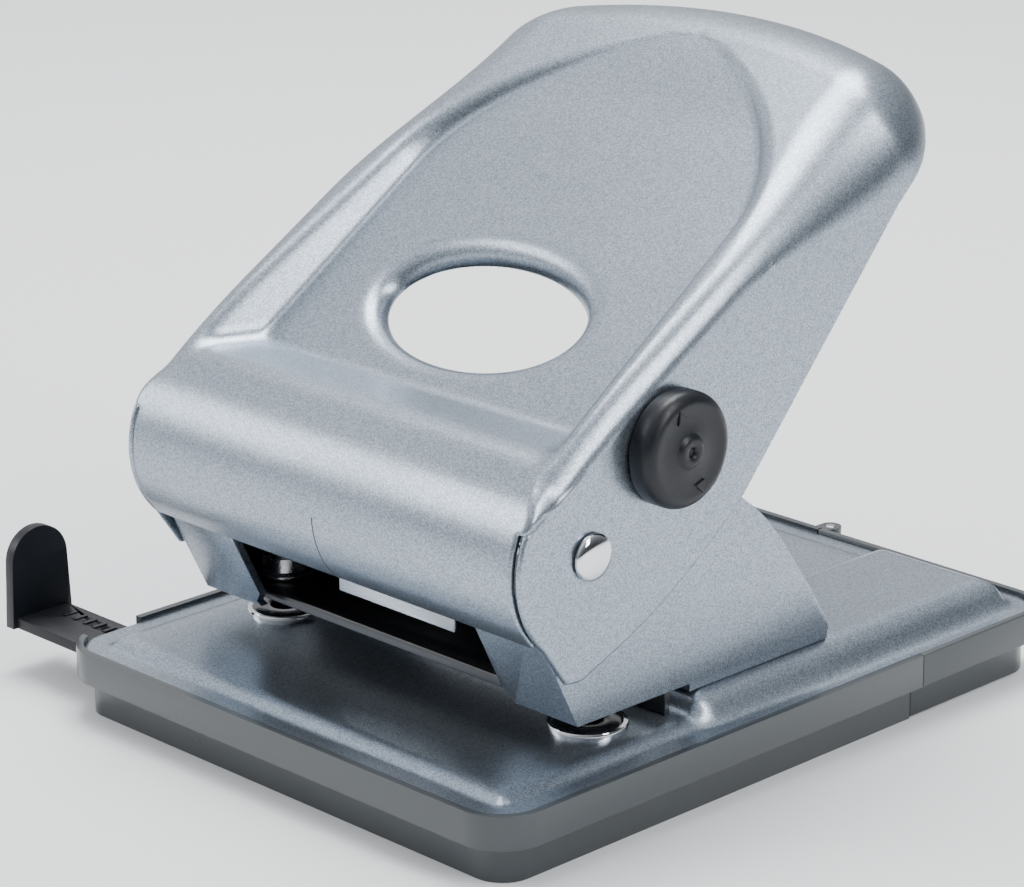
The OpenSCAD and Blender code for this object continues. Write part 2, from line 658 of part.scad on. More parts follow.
// ---- paper guide
module paper_guide() {
  color(black) {
    translate([tab_x, guide_y, bar_lo]) cube([bar_end - tab_x, guide_w, guide_t]);
    across(tab_x - tab_t, tab_x + e) {
      polygon([[guide_y - 1, bar_lo], [guide_y - 0.4, tab_h - 6], [guide_y + guide_w + 0.4, tab_h - 6],
        [guide_y + guide_w + 1, bar_lo]]);
      translate([guide_y + guide_w / 2, tab_h - 6.4]) circle(r = 6.4, $fn = 64);
    }
    for (i = [0 : 4]) translate([tab_x + 5 + 3 * i, guide_y + guide_w - 5, bar_lo + guide_t - e])
      cube([0.8, 3, 0.25]);
  }
}
module guide_saddles() {
  y1 = guide_y + guide_w + clear;
  low = bar_lo - clear - saddle_t;
  color(dark) for (x = [-40, -14]) translate([x - 4, 0, low]) {
    translate([0, y1, 0]) cube([8, saddle_t, table_z - plate_t - low]);
    translate([0, guide_y, 0]) cube([8, guide_w + 1, saddle_t]);
  }
}

chip_tray();
tray_hatch();
hatch_pin();
base_plate();
die(-1);  // die_left
die(1);  // die_right
paper_stop();
stop_rivets();
frame();
bridge();
centre_lip();
guide_bush(-1);  // guide_bush_left
guide_bush(1);  // guide_bush_right
frame_screws();
frame_nuts();
pivot_pin();
pivot_cap();
pivot_bushes();
handle();
press_bracket();
press_bar();
punch(-1);  // punch_left
punch(1);  // punch_right
seat(-1);  // seat_left
seat(1);  // seat_right
spring(-1);  // spring_left
spring(1);  // spring_right
lock_knob();
lock_shaft();
lock_ring();
paper_guide();
guide_saddles();
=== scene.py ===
import json
import math
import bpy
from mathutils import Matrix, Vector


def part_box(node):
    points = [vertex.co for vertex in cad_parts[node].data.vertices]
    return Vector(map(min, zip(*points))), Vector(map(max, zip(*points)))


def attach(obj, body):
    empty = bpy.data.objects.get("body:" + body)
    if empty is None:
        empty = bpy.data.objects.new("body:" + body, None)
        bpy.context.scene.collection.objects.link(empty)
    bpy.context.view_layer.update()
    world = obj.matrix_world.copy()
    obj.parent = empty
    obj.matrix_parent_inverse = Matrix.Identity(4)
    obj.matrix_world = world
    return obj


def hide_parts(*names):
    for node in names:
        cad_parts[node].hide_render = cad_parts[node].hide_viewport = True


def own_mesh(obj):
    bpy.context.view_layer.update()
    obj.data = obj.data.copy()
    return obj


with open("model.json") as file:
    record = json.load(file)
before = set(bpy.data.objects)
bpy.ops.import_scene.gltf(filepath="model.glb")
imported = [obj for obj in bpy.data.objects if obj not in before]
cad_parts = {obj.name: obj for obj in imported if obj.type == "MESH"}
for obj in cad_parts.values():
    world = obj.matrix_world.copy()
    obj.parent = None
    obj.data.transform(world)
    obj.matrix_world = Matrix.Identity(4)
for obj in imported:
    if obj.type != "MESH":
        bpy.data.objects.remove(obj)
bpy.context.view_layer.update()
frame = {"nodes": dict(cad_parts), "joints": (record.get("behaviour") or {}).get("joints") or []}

from types import SimpleNamespace

import bmesh
import bpy
import numpy as np
from mathutils import Euler, Matrix, Vector

bl_info = {
    "name": "Desk Punch Finish",
    "version": (1, 0, 0),
    "blender": (4, 5, 0),
    "location": "View3D > Sidebar > Punch",
    "description": "Builds the finished pieces of a two-hole desk punch on its packed frame",
    "category": "Add Mesh",
}

MM = 0.001
NODES = frame["nodes"]
JOINTS = {joint["name"]: joint for joint in frame["joints"]}
PIVOT = Vector(JOINTS["lever_hinge"]["pos_m"]) / MM
LOCK = Vector(JOINTS["lock_turn"]["pos_m"]) / MM


def box_mm(node):
    """Lowest and highest corner of a node, in millimetres."""
    low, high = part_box(node)
    return low / MM, high / MM


# ---------------------------------------------------------------- sizes and colours


def size_mm(name, description, mm):
    return bpy.props.FloatProperty(name=name, description=description, default=mm * MM,
                                   precision=4, unit="LENGTH")


def tint(name, description, colour):
    return bpy.props.FloatVectorProperty(name=name, description=description, default=colour,
                                         size=3, min=0, max=1, subtype="COLOR")


class LeverSizes(bpy.types.PropertyGroup):
    rest_angle: bpy.props.FloatProperty(
        name="Rest angle", description="Slope of the lever's top at rest",
        default=math.radians(30.5), subtype="ANGLE")
    sheet: size_mm("Sheet", "Thickness of the lever's sheet", 1.3)
    length: size_mm("Length", "Lever behind its pivot", 119.0)
    corner: size_mm("Corner radius", "Rear corners from above", 16.0)
    fold: size_mm("Fold", "Fold along the shoulders", 5.0)
    roll: size_mm("Rear roll", "Roll round the rear end", 15.0)
    nose: size_mm("Nose radius", "Outside of the rolled nose", 18.7)
    top: size_mm("Shoulder height", "Top above the pivot", 18.3)
    oval_w: size_mm("Finger hole width", "Across the lever", 46.8)
    oval_l: size_mm("Finger hole length", "Along the lever", 24.8)
    flare: size_mm("Hole flare", "Softness of the drawn hole's edge", 5.0)
    panel_edge: size_mm("Panel edge", "Softness of the recess's edge", 2.2)


class BaseSizes(bpy.types.PropertyGroup):
    sheet: size_mm("Sheet", "Thickness of the base plate", 1.5)
    border: size_mm("Border", "Flat border round the plate", 3.5)
    corner: size_mm("Corner radius", "Plate corners from above", 7.5)
    rise: size_mm("Deck rise", "Rear deck above the paper table", 3.8)
    trough: size_mm("Trough", "Width of the trough in the rear deck", 40.0)


class Finish(bpy.types.PropertyGroup):
    paint: tint("Silver paint", "Metallic paint on the pressed steel", (0.33, 0.38, 0.44))
    smoke: tint("Smoke plastic", "Moulded chip tray", (0.034, 0.041, 0.046))
    black: tint("Black plastic", "Knob and paper guide", (0.004, 0.005, 0.008))
    enamel: tint("Black steel", "Enamelled bridge, stop and dies", (0.010, 0.011, 0.014))
    steel: tint("Bright steel", "Punches, screws and springs", (0.60, 0.61, 0.63))
    chrome: tint("Chrome", "Pivot heads and die rims", (0.80, 0.81, 0.83))
    floor: tint("Floor", "Plain studio floor", (0.86, 0.87, 0.88))


def in_mm(group):
    """A group's values as plain numbers, with its lengths in millimetres."""
    kinds = group.bl_rna.properties
    return SimpleNamespace(**{key: getattr(group, key) / (MM if kinds[key].unit == "LENGTH" else 1)
                              for key in type(group).__annotations__})


# ---------------------------------------------------------------- shader writing


class Sock:
    """A shader socket that takes part in Python arithmetic."""

    def __init__(self, shader, socket):
        self.shader = shader
        self.socket = socket

    def _math(self, op, a, b=None):
        values = {0: a} if b is None else {0: a, 1: b}
        return self.shader.node("ShaderNodeMath", {"operation": op}, values)

    def __add__(self, other):
        return self._math("ADD", self, other)

    def __radd__(self, other):
        return self._math("ADD", other, self)

    def __sub__(self, other):
        return self._math("SUBTRACT", self, other)

    def __rsub__(self, other):
        return self._math("SUBTRACT", other, self)

    def __mul__(self, other):
        return self._math("MULTIPLY", self, other)

    def __rmul__(self, other):
        return self._math("MULTIPLY", other, self)

    def __truediv__(self, other):
        return self._math("DIVIDE", self, other)

    def __lt__(self, other):
        return self._math("LESS_THAN", self, other)

    def __gt__(self, other):
        return self._math("GREATER_THAN", self, other)

    def __abs__(self):
        return self._math("ABSOLUTE", self)


class Shader:
    """Writes the node tree of one material, or of the sky."""

    def __init__(self, name, kind="materials"):
        self.made = getattr(bpy.data, kind).new(name)
        self.made.use_nodes = True
        self.tree = self.made.node_tree
        self.tree.nodes.clear()

    def node(self, kind, settings=None, values=None, output=0):
        made = self.tree.nodes.new(kind)
        for key, value in (settings or {}).items():
            if key == "stops":
                self._stops(made.color_ramp, value)
            else:
                setattr(made, key, value)
        for key, value in (values or {}).items():
            if isinstance(value, Sock):
                self.tree.links.new(value.socket, made.inputs[key])
            else:
                made.inputs[key].default_value = value
        return Sock(self, made.outputs[output]) if made.outputs else None

    def _stops(self, ramp, stops):
        """Sets a colour ramp from (position, colour) pairs, lowest first."""
        while len(ramp.elements) > 1:
            ramp.elements.remove(ramp.elements[-1])
        for i, (place, colour) in enumerate(stops):
            element = ramp.elements[0] if i == 0 else ramp.elements.new(place)
            element.position = place
            element.color = colour

    def place(self):
        """Object coordinates in metres."""
        return self.node("ShaderNodeTexCoord", output=3)

    def noise(self, scale, detail=2.0, rough=0.5, vector=None):
        return self.node("ShaderNodeTexNoise", None,
                         {"Vector": vector or self.place(), "Scale": scale, "Detail": detail,
                          "Roughness": rough})

    def blend(self, factor, a, b):
        """Colour a where factor is 0, colour b where it is 1."""
        return self.node("ShaderNodeMix", {"data_type": "RGBA"}, {0: factor, 6: a, 7: b}, 2)

    def span(self, value, low, high, out_low, out_high):
        return self.node("ShaderNodeMapRange", None,
                         {"Value": value, "From Min": low, "From Max": high,
                          "To Min": out_low, "To Max": out_high})

    def finish(self, sockets):
        surface = self.node("ShaderNodeBsdfPrincipled", None, sockets)
        self.node("ShaderNodeOutputMaterial", None, {"Surface": surface})
        return self.made


def rgba(colour, gain=1.0):
    """A colour made darker or lighter, with full alpha."""
    return (*[min(1.0, c * gain) for c in colour], 1.0)


def silver_paint(name="silver_paint", mark=False):
    """Metallic paint: fine flakes, a little orange peel and faint handling wear."""
    s = Shader(name)
    base = bpy.context.scene.punch_finish.paint
    flake = s.node("ShaderNodeTexVoronoi", None, {"Vector": s.place(), "Scale": 5200.0}, 1)
    flake = s.node("ShaderNodeSeparateColor", None, {0: flake})
    grain = s.noise(7000.0, 1.0)
    cloud = s.noise(28.0, 3.0)
    speck = s.span(flake * 0.6 + grain * 0.4, 0.30, 0.78, 0.0, 1.0)
    colour = s.blend(speck, rgba(base, 0.66), rgba(base, 1.36))
    colour = s.blend(cloud * 0.18, colour, rgba(base, 0.85))
    if mark:
        colour = s.blend(centre_line(s), colour, rgba(base, 0.12))
    peel = s.noise(900.0, 2.0)
    bump = s.node("ShaderNodeBump", None, {"Height": peel + grain * 0.5, "Strength": 0.10,
                                           "Distance": 0.0002})
    rough = s.span(cloud + grain * 0.5, 0.4, 1.1, 0.27, 0.37)
    return s.finish({"Base Color": colour, "Metallic": 0.92, "Roughness": rough, "Normal": bump,
                     "Coat Weight": 0.12, "Coat Roughness": 0.22})


def centre_line(s):
    """Mask of the fine line that marks the middle of the nose."""
    first = s.node("ShaderNodeSeparateXYZ", None, {"Vector": s.place()})
    x, y, z = (Sock(s, out) for out in first.socket.node.outputs)
    line = abs(x) < 0.16 * MM
    low = z < (PIVOT.z - 1.5) * MM
    front = y < (PIVOT.y - 5) * MM
    return line * low * front


def smoke_plastic():
    s = Shader("smoke_plastic")
    base = bpy.context.scene.punch_finish.smoke
    cloud = s.noise(35.0, 3.0)
    fine = s.noise(1400.0, 2.0)
    colour = s.blend(cloud, rgba(base, 0.80), rgba(base, 1.25))
    bump = s.node("ShaderNodeBump", None, {"Height": fine, "Strength": 0.06, "Distance": 0.0002})
    return s.finish({"Base Color": colour, "Roughness": s.span(cloud, 0.3, 0.7, 0.26, 0.38),
                     "Normal": bump, "Coat Weight": 0.35, "Coat Roughness": 0.12})


def black_plastic():
    s = Shader("black_plastic")
    base = bpy.context.scene.punch_finish.black
    fine = s.noise(1500.0, 2.0)
    cloud = s.noise(60.0, 2.0)
    bump = s.node("ShaderNodeBump", None, {"Height": fine, "Strength": 0.10, "Distance": 0.0002})
    colour = s.blend(cloud, rgba(base, 0.8), rgba(base, 1.5))
    return s.finish({"Base Color": colour, "Roughness": s.span(fine, 0.3, 0.7, 0.34, 0.46),
                     "Normal": bump, "Specular IOR Level": 0.32, "Coat Weight": 0.08,
                     "Coat Roughness": 0.3})


def black_steel(name="black_steel", rough=0.30):
    s = Shader(name)
    base = bpy.context.scene.punch_finish.enamel
    fine = s.noise(700.0, 2.0)
    bump = s.node("ShaderNodeBump", None, {"Height": fine, "Strength": 0.06, "Distance": 0.0002})
    colour = s.blend(fine, rgba(base, 0.8), rgba(base, 1.4))
    return s.finish({"Base Color": colour, "Roughness": s.span(fine, 0.3, 0.7, rough, rough + 0.1),
                     "Normal": bump, "Coat Weight": 0.4, "Coat Roughness": 0.15})


def bright_steel():
    s = Shader("bright_steel")
    base = bpy.context.scene.punch_finish.steel
    stretch = s.node("ShaderNodeMapping", None,
                     {"Vector": s.place(), "Scale": (90.0, 900.0, 900.0)})
    grain = s.noise(1.0, 3.0, vector=stretch)
    cloud = s.noise(50.0, 2.0)
    colour = s.blend(cloud, rgba(base, 0.85), rgba(base, 1.05))
    bump = s.node("ShaderNodeBump", None, {"Height": grain, "Strength": 0.08, "Distance": 0.0002})
    return s.finish({"Base Color": colour, "Metallic": 1.0,
                     "Roughness": s.span(grain, 0.3, 0.7, 0.22, 0.34), "Normal": bump})


def chrome():
    s = Shader("chrome")
    base = bpy.context.scene.punch_finish.chrome
    haze = s.noise(120.0, 3.0)
    return s.finish({"Base Color": s.blend(haze, rgba(base, 0.95), rgba(base, 1.05)),
                     "Metallic": 1.0, "Roughness": s.span(haze, 0.3, 0.7, 0.05, 0.11)})


def studio_floor():
    s = Shader("studio_floor")
    base = bpy.context.scene.punch_finish.floor
    haze = s.noise(3.0, 2.0)
    return s.finish({"Base Color": s.blend(haze, rgba(base, 0.99), rgba(base, 1.0)),
                     "Roughness": 0.85})


_made = {}


def paint(obj, maker, slot_name=None, **options):
    """Gives the piece one procedural material, made once; slot_name is not used."""
    key = (maker.__name__, *sorted(options.items()))
    if key not in _made:
        _made[key] = maker(**options)
    obj.data.materials.clear()
    obj.data.materials.append(_made[key])
    return obj


# ---------------------------------------------------------------- shapes as distance fields


def soft_max(a, b, k):
    """The greater of a and b, blended where they differ by less than k."""
    h = np.maximum(k - np.abs(a - b), 0) / k
    return np.maximum(a, b) + h * h * k / 4


def soft_min(a, b, k):
    return -soft_max(-a, -b, k)


def rounded_both(a, b, r):
    """Inside both a and b, with their common edge rounded to radius r."""
    return np.minimum(np.maximum(a, b), -r) + np.hypot(np.maximum(a + r, 0), np.maximum(b + r, 0))


def ramp(low, high, v):
    """Rises smoothly from 0 at low to 1 at high."""
    t = np.clip((v - low) / (high - low), 0, 1)
    return t * t * (3 - 2 * t)


def rounded_rect(x, y, half_x, half_y, r):
    """Signed distance to a rectangle with corners of radius r, negative inside."""
    dx = np.abs(x) - (half_x - r)
    dy = np.abs(y) - (half_y - r)
    return np.minimum(np.maximum(dx, dy), 0) + np.hypot(np.maximum(dx, 0), np.maximum(dy, 0)) - r


def polygon_distance(points, u, w):
    """Signed distance to a closed outline, negative inside."""
    best = np.full(np.broadcast(u, w).shape, 1e9)
    inside = np.zeros(best.shape, bool)
    for (pu, pw), (qu, qw) in zip(points, points[1:] + points[:1]):
        eu, ew = qu - pu, qw - pw
        t = np.clip(((u - pu) * eu + (w - pw) * ew) / (eu * eu + ew * ew), 0, 1)
        best = np.minimum(best, (u - pu - eu * t) ** 2 + (w - pw - ew * t) ** 2)
        if qw != pw:
            crosses = (pw <= w) != (qw <= w)
            inside ^= crosses & (u < pu + eu * (w - pw) / ew)
    return np.where(inside, -1, 1) * np.sqrt(best)


CORNERS = np.array([(i, j, k) for i in (0, 1) for j in (0, 1) for k in (0, 1)])


def skin(field, low, high, step):
    """Quads on the zero surface of a distance field: one vertex a cell, moved onto the surface."""
    low, high = np.array(low, float), np.array(high, float)
    count = np.ceil((high - low) / step).astype(int) + 1
    axes = [low[i] + step * np.arange(count[i]) for i in range(3)]
    grid = field(axes[0][:, None, None], axes[1][None, :, None], axes[2][None, None, :])
    grid = np.array(np.broadcast_to(grid, count))
    inside = grid < 0
    nx, ny, nz = count - 1
    total = np.zeros((nx, ny, nz), np.uint8)
    for i, j, k in CORNERS:
        total += inside[i:i + nx, j:j + ny, k:k + nz]
    active = (total > 0) & (total < 8)
    cells = np.argwhere(active)
    number = np.full(active.shape, -1)
    number[active] = np.arange(len(cells))
    value = grid[tuple((cells[:, None, :] + CORNERS[None]).transpose(2, 0, 1))]
    place = np.zeros((len(cells), 3))
    hits = np.zeros(len(cells))
    for a in range(8):
        for b in range(a + 1, 8):
            if np.abs(CORNERS[a] - CORNERS[b]).sum() == 1:
                cut = (value[:, a] < 0) != (value[:, b] < 0)
                t = value[cut, a] / (value[cut, a] - value[cut, b])
                place[cut] += CORNERS[a] + (CORNERS[b] - CORNERS[a]) * t[:, None]
                hits[cut] += 1
    points = low + step * (cells + place / hits[:, None])
    points = settle(field, points, step)
    quads = []
    for a in range(3):
        b, c = (a + 1) % 3, (a + 2) % 3
        near = [slice(None)] * 3
        near[a] = slice(0, count[a] - 1)
        far = list(near)
        far[a] = slice(1, count[a])
        differs = inside[tuple(near)] != inside[tuple(far)]
        edge = np.argwhere(differs)
        edge = edge[(edge[:, b] > 0) & (edge[:, b] < count[b] - 1)
                    & (edge[:, c] > 0) & (edge[:, c] < count[c] - 1)]
        ring = []
        for db, dc in ((-1, -1), (0, -1), (0, 0), (-1, 0)):
            cell = edge.copy()
            cell[:, b] += db
            cell[:, c] += dc
            ring.append(number[tuple(cell.T)])
        ring = np.stack(ring, 1)
        outward = inside[tuple(edge.T)]
        ring[~outward] = ring[~outward][:, ::-1]
        quads.append(ring)
    return points, np.concatenate(quads)


def settle(field, points, step, rounds=3, h=0.02):
    """Moves points onto the surface along the field's slope."""
    for _ in range(rounds):
        x, y, z = points.T
        here = field(x, y, z)
        slope = np.stack([(field(x + h, y, z) - field(x - h, y, z)) / (2 * h),
                          (field(x, y + h, z) - field(x, y - h, z)) / (2 * h),
                          (field(x, y, z + h) - field(x, y, z - h)) / (2 * h)], 1)
        size = np.maximum((slope ** 2).sum(1), 0.25)
        move = np.clip(here / size, -step / 2, step / 2)
        points = points - slope * move[:, None]
    return points


def put(name, data):
    """A new object in the scene."""
    obj = bpy.data.objects.new(name, data)
    bpy.context.scene.collection.objects.link(obj)
    return obj


def solid(name, points_mm, faces):
    """An object from points in millimetres and faces that list them."""
    me = bpy.data.meshes.new(name)
    me.from_pydata([[c * MM for c in p] for p in points_mm], [], faces)
    return put(name, me)


def mesh_object(name, points_mm, quads):
    """An object from many points and quads at once."""
    me = bpy.data.meshes.new(name)
    me.vertices.add(len(points_mm))
    me.vertices.foreach_set("co", (np.asarray(points_mm) * MM).ravel())
    me.loops.add(quads.size)
    me.loops.foreach_set("vertex_index", quads.ravel())
    me.polygons.add(len(quads))
    me.polygons.foreach_set("loop_start", np.arange(len(quads)) * quads.shape[1])
    me.polygons.foreach_set("use_smooth", np.ones(len(quads), bool))
    me.update(calc_edges=True)
    me.validate()
    return put(name, me)


# ---------------------------------------------------------------- other ways of making a piece


def softened(node, name, width, segments=3, angle=28):
    """A copy of a node's mesh with its edges rounded."""
    me = NODES[node].data.copy()
    me.name = name
    work = bmesh.new()
    work.from_mesh(me)
    bmesh.ops.remove_doubles(work, verts=work.verts, dist=1e-6)
    bmesh.ops.dissolve_limit(work, angle_limit=math.radians(1.0), verts=work.verts,
                             edges=work.edges)
    work.to_mesh(me)
    work.free()
    me.materials.clear()
    obj = put(name, me)
    bevel = obj.modifiers.new("edges", "BEVEL")
    bevel.width = width * MM
    bevel.segments = segments
    bevel.limit_method = "ANGLE"
    bevel.angle_limit = math.radians(angle)
    bevel.use_clamp_overlap = True
    bevel.miter_outer = "MITER_ARC"
    bake_modifiers(obj)
    smooth_by_angle(obj, 35)
    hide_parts(node)
    return obj


def trimmed(node, name, width, maker, body, slot_name=None):
    """A softened copy of a node, painted, on its body."""
    obj = paint(softened(node, name, width), maker, slot_name or maker.__name__)
    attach(obj, body)
    return obj


def bake_modifiers(obj):
    """Makes the modified mesh the object's own."""
    depsgraph = bpy.context.evaluated_depsgraph_get()
    made = bpy.data.meshes.new_from_object(obj.evaluated_get(depsgraph))
    obj.modifiers.clear()
    obj.data = made


def smooth_by_angle(obj, degrees):
    me = obj.data
    me.polygons.foreach_set("use_smooth", np.ones(len(me.polygons), bool))
    me.set_sharp_from_angle(angle=math.radians(degrees))


def lathe(name, profile, place, turn=(0, 0, 0), steps=96):
    """Turns a profile of (radius, height) pairs round Z, then sets it down; closes at radius 0."""
    rings = [p for p in profile if p[0] > 1e-6]
    around = [2 * math.pi * i / steps for i in range(steps)]
    points = [(r * math.cos(a), r * math.sin(a), h) for r, h in rings for a in around]
    faces = []
    for k in range(len(rings) - 1):
        for i in range(steps):
            j = (i + 1) % steps
            faces.append((k * steps + i, k * steps + j, (k + 1) * steps + j, (k + 1) * steps + i))
    closed = profile[0] == profile[-1]
    for end, first in ((0, profile[0]), (len(rings) - 1, profile[-1])):
        if first[0] <= 1e-6:
            points.append((0, 0, first[1]))
            tip = len(points) - 1
            for i in range(steps):
                j = (i + 1) % steps
                pair = (end * steps + j, end * steps + i) if end == 0 else (
                    end * steps + i, end * steps + j)
                faces.append((*pair, tip))
    if closed:
        last = (len(rings) - 1) * steps
        for i in range(steps):
            j = (i + 1) % steps
            faces.append((last + i, last + j, j, i))
    obj = solid(name, points, faces)
    me = obj.data
    if closed:
        tidy = bmesh.new()
        tidy.from_mesh(me)
        bmesh.ops.remove_doubles(tidy, verts=tidy.verts, dist=1e-7)
        tidy.to_mesh(me)
        tidy.free()
    me.transform(Euler(turn).to_matrix().to_4x4())
    me.transform(Matrix.Translation(Vector(place) * MM))
    me.update()
    face_outward(obj)
    smooth_by_angle(obj, 40)
    return obj


def face_outward(obj):
    work = bmesh.new()
    work.from_mesh(obj.data)
    bmesh.ops.recalc_face_normals(work, faces=work.faces)
    work.to_mesh(obj.data)
    work.free()


def lever_to_row(points):
    """From the lever's own frame, along and square to its top, to the row's frame."""
    tilt = bpy.context.scene.punch_lever.rest_angle
    x, u, w = np.asarray(points).T
    return np.stack([x, PIVOT.y + u * math.cos(tilt) - w * math.sin(tilt),
                     PIVOT.z + u * math.sin(tilt) + w * math.cos(tilt)], 1)


# ---------------------------------------------------------------- lever


def lever_facts():
    """Working sizes of the lever, in its own frame."""
    s = in_mm(bpy.context.scene.punch_lever)
    low, high = box_mm("handle")
    half = high.x
    nose_u, nose_w = 1.1, s.top - s.nose - 1.3
    return {
        "half": half, "inner": half - s.sheet, "nose_u": nose_u, "nose_w": nose_w,
        "lip": nose_w - 4.5, "slit": s.top - 4.7, "floor_u": 15.0, "floor_w": s.top - 7.4,
        "oval_u": 34.5, "gap": 0.65,
    }


def panel_half(f, u):
    """Half the recess's width: nearly straight, then an arch towards the free end."""
    arch_u, arch_l = 60, 43
    edge, taper = 9.6, 1.7
    near = f["half"] - edge - taper * (u - f["floor_u"]) / (arch_u - f["floor_u"])
    t = np.clip((u - arch_u) / arch_l, 0, 0.999)
    far = (f["half"] - edge - taper) * (1 - t * t) ** 0.8
    return np.where(u < arch_u, near, far)


def panel_floor(f, u):
    """Height of the recess's floor, which runs out into the top at the free end."""
    return f["floor_w"] + 0.075 * (u - f["floor_u"]) + 0.0055 * np.maximum(0, u - 84) ** 2


def lower_edge(f, s):
    """The side walls' lower edge, from the nose to the free end."""
    front = f["nose_u"] - s.nose
    dip = [(-13 + 4.6 * i, -17.7 - 2.2 * math.sin(math.radians(18 * i))) for i in range(11)]
    return [(front + 0.55, f["lip"]), (front + 1.3, -16.3), *dip,
            (s.length - 29.5, 0.2), (s.length - 22, 1.7), (s.length - 14, 2.6)]


def lever_field(f, s):
    """Distance to the lever's sheet, over (x, along, square to the top)."""
    trim = [(-60, 60), (-60, f["nose_w"]), (f["nose_u"] - s.nose - 0.2, f["nose_w"]),
            *lower_edge(f, s), (s.length + 9, 3.2), (s.length + 9, 60)]
    arc = [math.radians(a) for a in range(124, 197, 6)]
    wall_r = s.nose - 0.35
    wall = [(f["nose_u"] + wall_r * math.cos(a), f["nose_w"] + wall_r * math.sin(a)) for a in arc]
    wall += [(f["nose_u"] - s.nose + 1.7, -15.6), *lower_edge(f, s)[2:-3], (60, -8.75),
             (60, f["slit"])]
    rise = math.atan2(1.3, 8.0)
    tu, tw = math.cos(rise), math.sin(rise)

    def top_curve(u, w):
        du, dw = u - f["nose_u"], w - f["nose_w"]
        round_nose = np.hypot(du, np.maximum(dw, -6))
        sloped = dw * tu - du * tw
        nose = np.where(du * tu + dw * tw < 0, round_nose, sloped) - s.nose
        return soft_max(nose, w - s.top, 2.5)

    def plan(x, u):
        """The outline from above, with its bowed rear edge."""
        back = u + x * x / 240 * ramp(60, 110, u)
        dx = np.abs(x) - (f["half"] - s.corner)
        dv = back - (s.length - s.corner)
        return (np.minimum(np.maximum(dx, dv), 0)
                + np.hypot(np.maximum(dx, 0), np.maximum(dv, 0)) - s.corner)

    def pocket(x, u, w):
        """The recess in the top, with leaning sides."""
        lean, front_fall = 0.6, 0.514
        floor = panel_floor(f, u)
        half = panel_half(f, u)
        slope = (panel_half(f, u + 0.5) - panel_half(f, u - 0.5))
        side = (np.abs(x) - half - lean * (w - floor)) / np.sqrt(1 + lean ** 2 + slope * slope)
        front = (f["floor_u"] - (w - f["floor_w"]) / lean - u) * front_fall
        return soft_max(soft_max(side, front, 3), floor - w, 0.9)

    def field(x, u, w):
        across = np.abs(x)
        fold = 1.2 + (s.fold - 1.2) * ramp(-8, 1, u) + (s.roll - s.fold) * ramp(48, 97, u)
        body = rounded_both(plan(x, u), top_curve(u, w), fold)
        body = soft_max(body, -pocket(x, u, w), s.panel_edge)
        v = u - f["oval_u"]
        a, b = s.oval_w / 2, s.oval_l / 2
        k0 = np.hypot(x / a, v / b)
        k1 = np.maximum(np.hypot(x / (a * a), v / (b * b)), 1e-6)
        oval = k0 * (k0 - 1) / k1
        body = soft_max(body, -oval, s.flare)
        shell = np.abs(body + s.sheet / 2) - s.sheet / 2
        under = panel_floor(f, f["oval_u"]) - 4.3 + 0.075 * v
        shell = np.where(oval < 5, rounded_both(shell, under - w, 0.5), shell)
        shell = rounded_both(shell, polygon_distance(trim, u, w), 0.3)
        lip = (across < f["inner"]) & (u < 12)
        shell = np.where(lip, rounded_both(shell, f["lip"] - w, 0.3), shell)
        slit = np.maximum(np.maximum(f["inner"] - f["gap"] - across, u + 4.2), w - f["slit"])
        shell = rounded_both(shell, -slit, 0.4)
        side = rounded_both(polygon_distance(wall, u, w),
                            np.abs(across - f["half"] + s.sheet / 2) - s.sheet / 2, 0.5)
        whole = np.minimum(shell, side)
        pivot_hole, lock_hole = 3.4, 4.6
        whole = np.maximum(whole, pivot_hole - np.hypot(u, w))
        lock_u, lock_w = lock_place(s)
        hole = lock_hole - np.hypot(u - lock_u, w - lock_w)
        return np.where(x > 0, np.maximum(whole, hole), whole)

    return field


def lock_place(s):
    """The lock's axis in the lever's own frame."""
    y, z = LOCK.y - PIVOT.y, LOCK.z - PIVOT.z
    c, n = math.cos(s.rest_angle), math.sin(s.rest_angle)
    return y * c + z * n, z * c - y * n


class PUNCH_OT_lever(bpy.types.Operator):
    """Makes the pressed lever with its rolled nose, recessed panel and finger hole"""
    bl_idname = "punch.lever"
    bl_label = "Lever"

    def execute(self, context):
        s = in_mm(context.scene.punch_lever)
        f = lever_facts()
        step = 0.42
        low = (-f["half"] - 1.6, -20.0, -22.5)
        high = (f["half"] + 1.6, s.length + 1.6, s.top + 1.6)
        points, quads = skin(lever_field(f, s), low, high, step)
        shell = mesh_object("lever_shell", lever_to_row(points), quads)
        paint(shell, silver_paint, "silver_paint", name="lever_paint", mark=True)
        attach(shell, "lever")
        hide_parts("handle")
        trimmed("press_bracket", "lever_bracket", 0.3, silver_paint, "lever")
        trimmed("press_bar", "lever_press_bar", 0.5, bright_steel, "lever")
        return {"FINISHED"}


# ---------------------------------------------------------------- base plate and tray


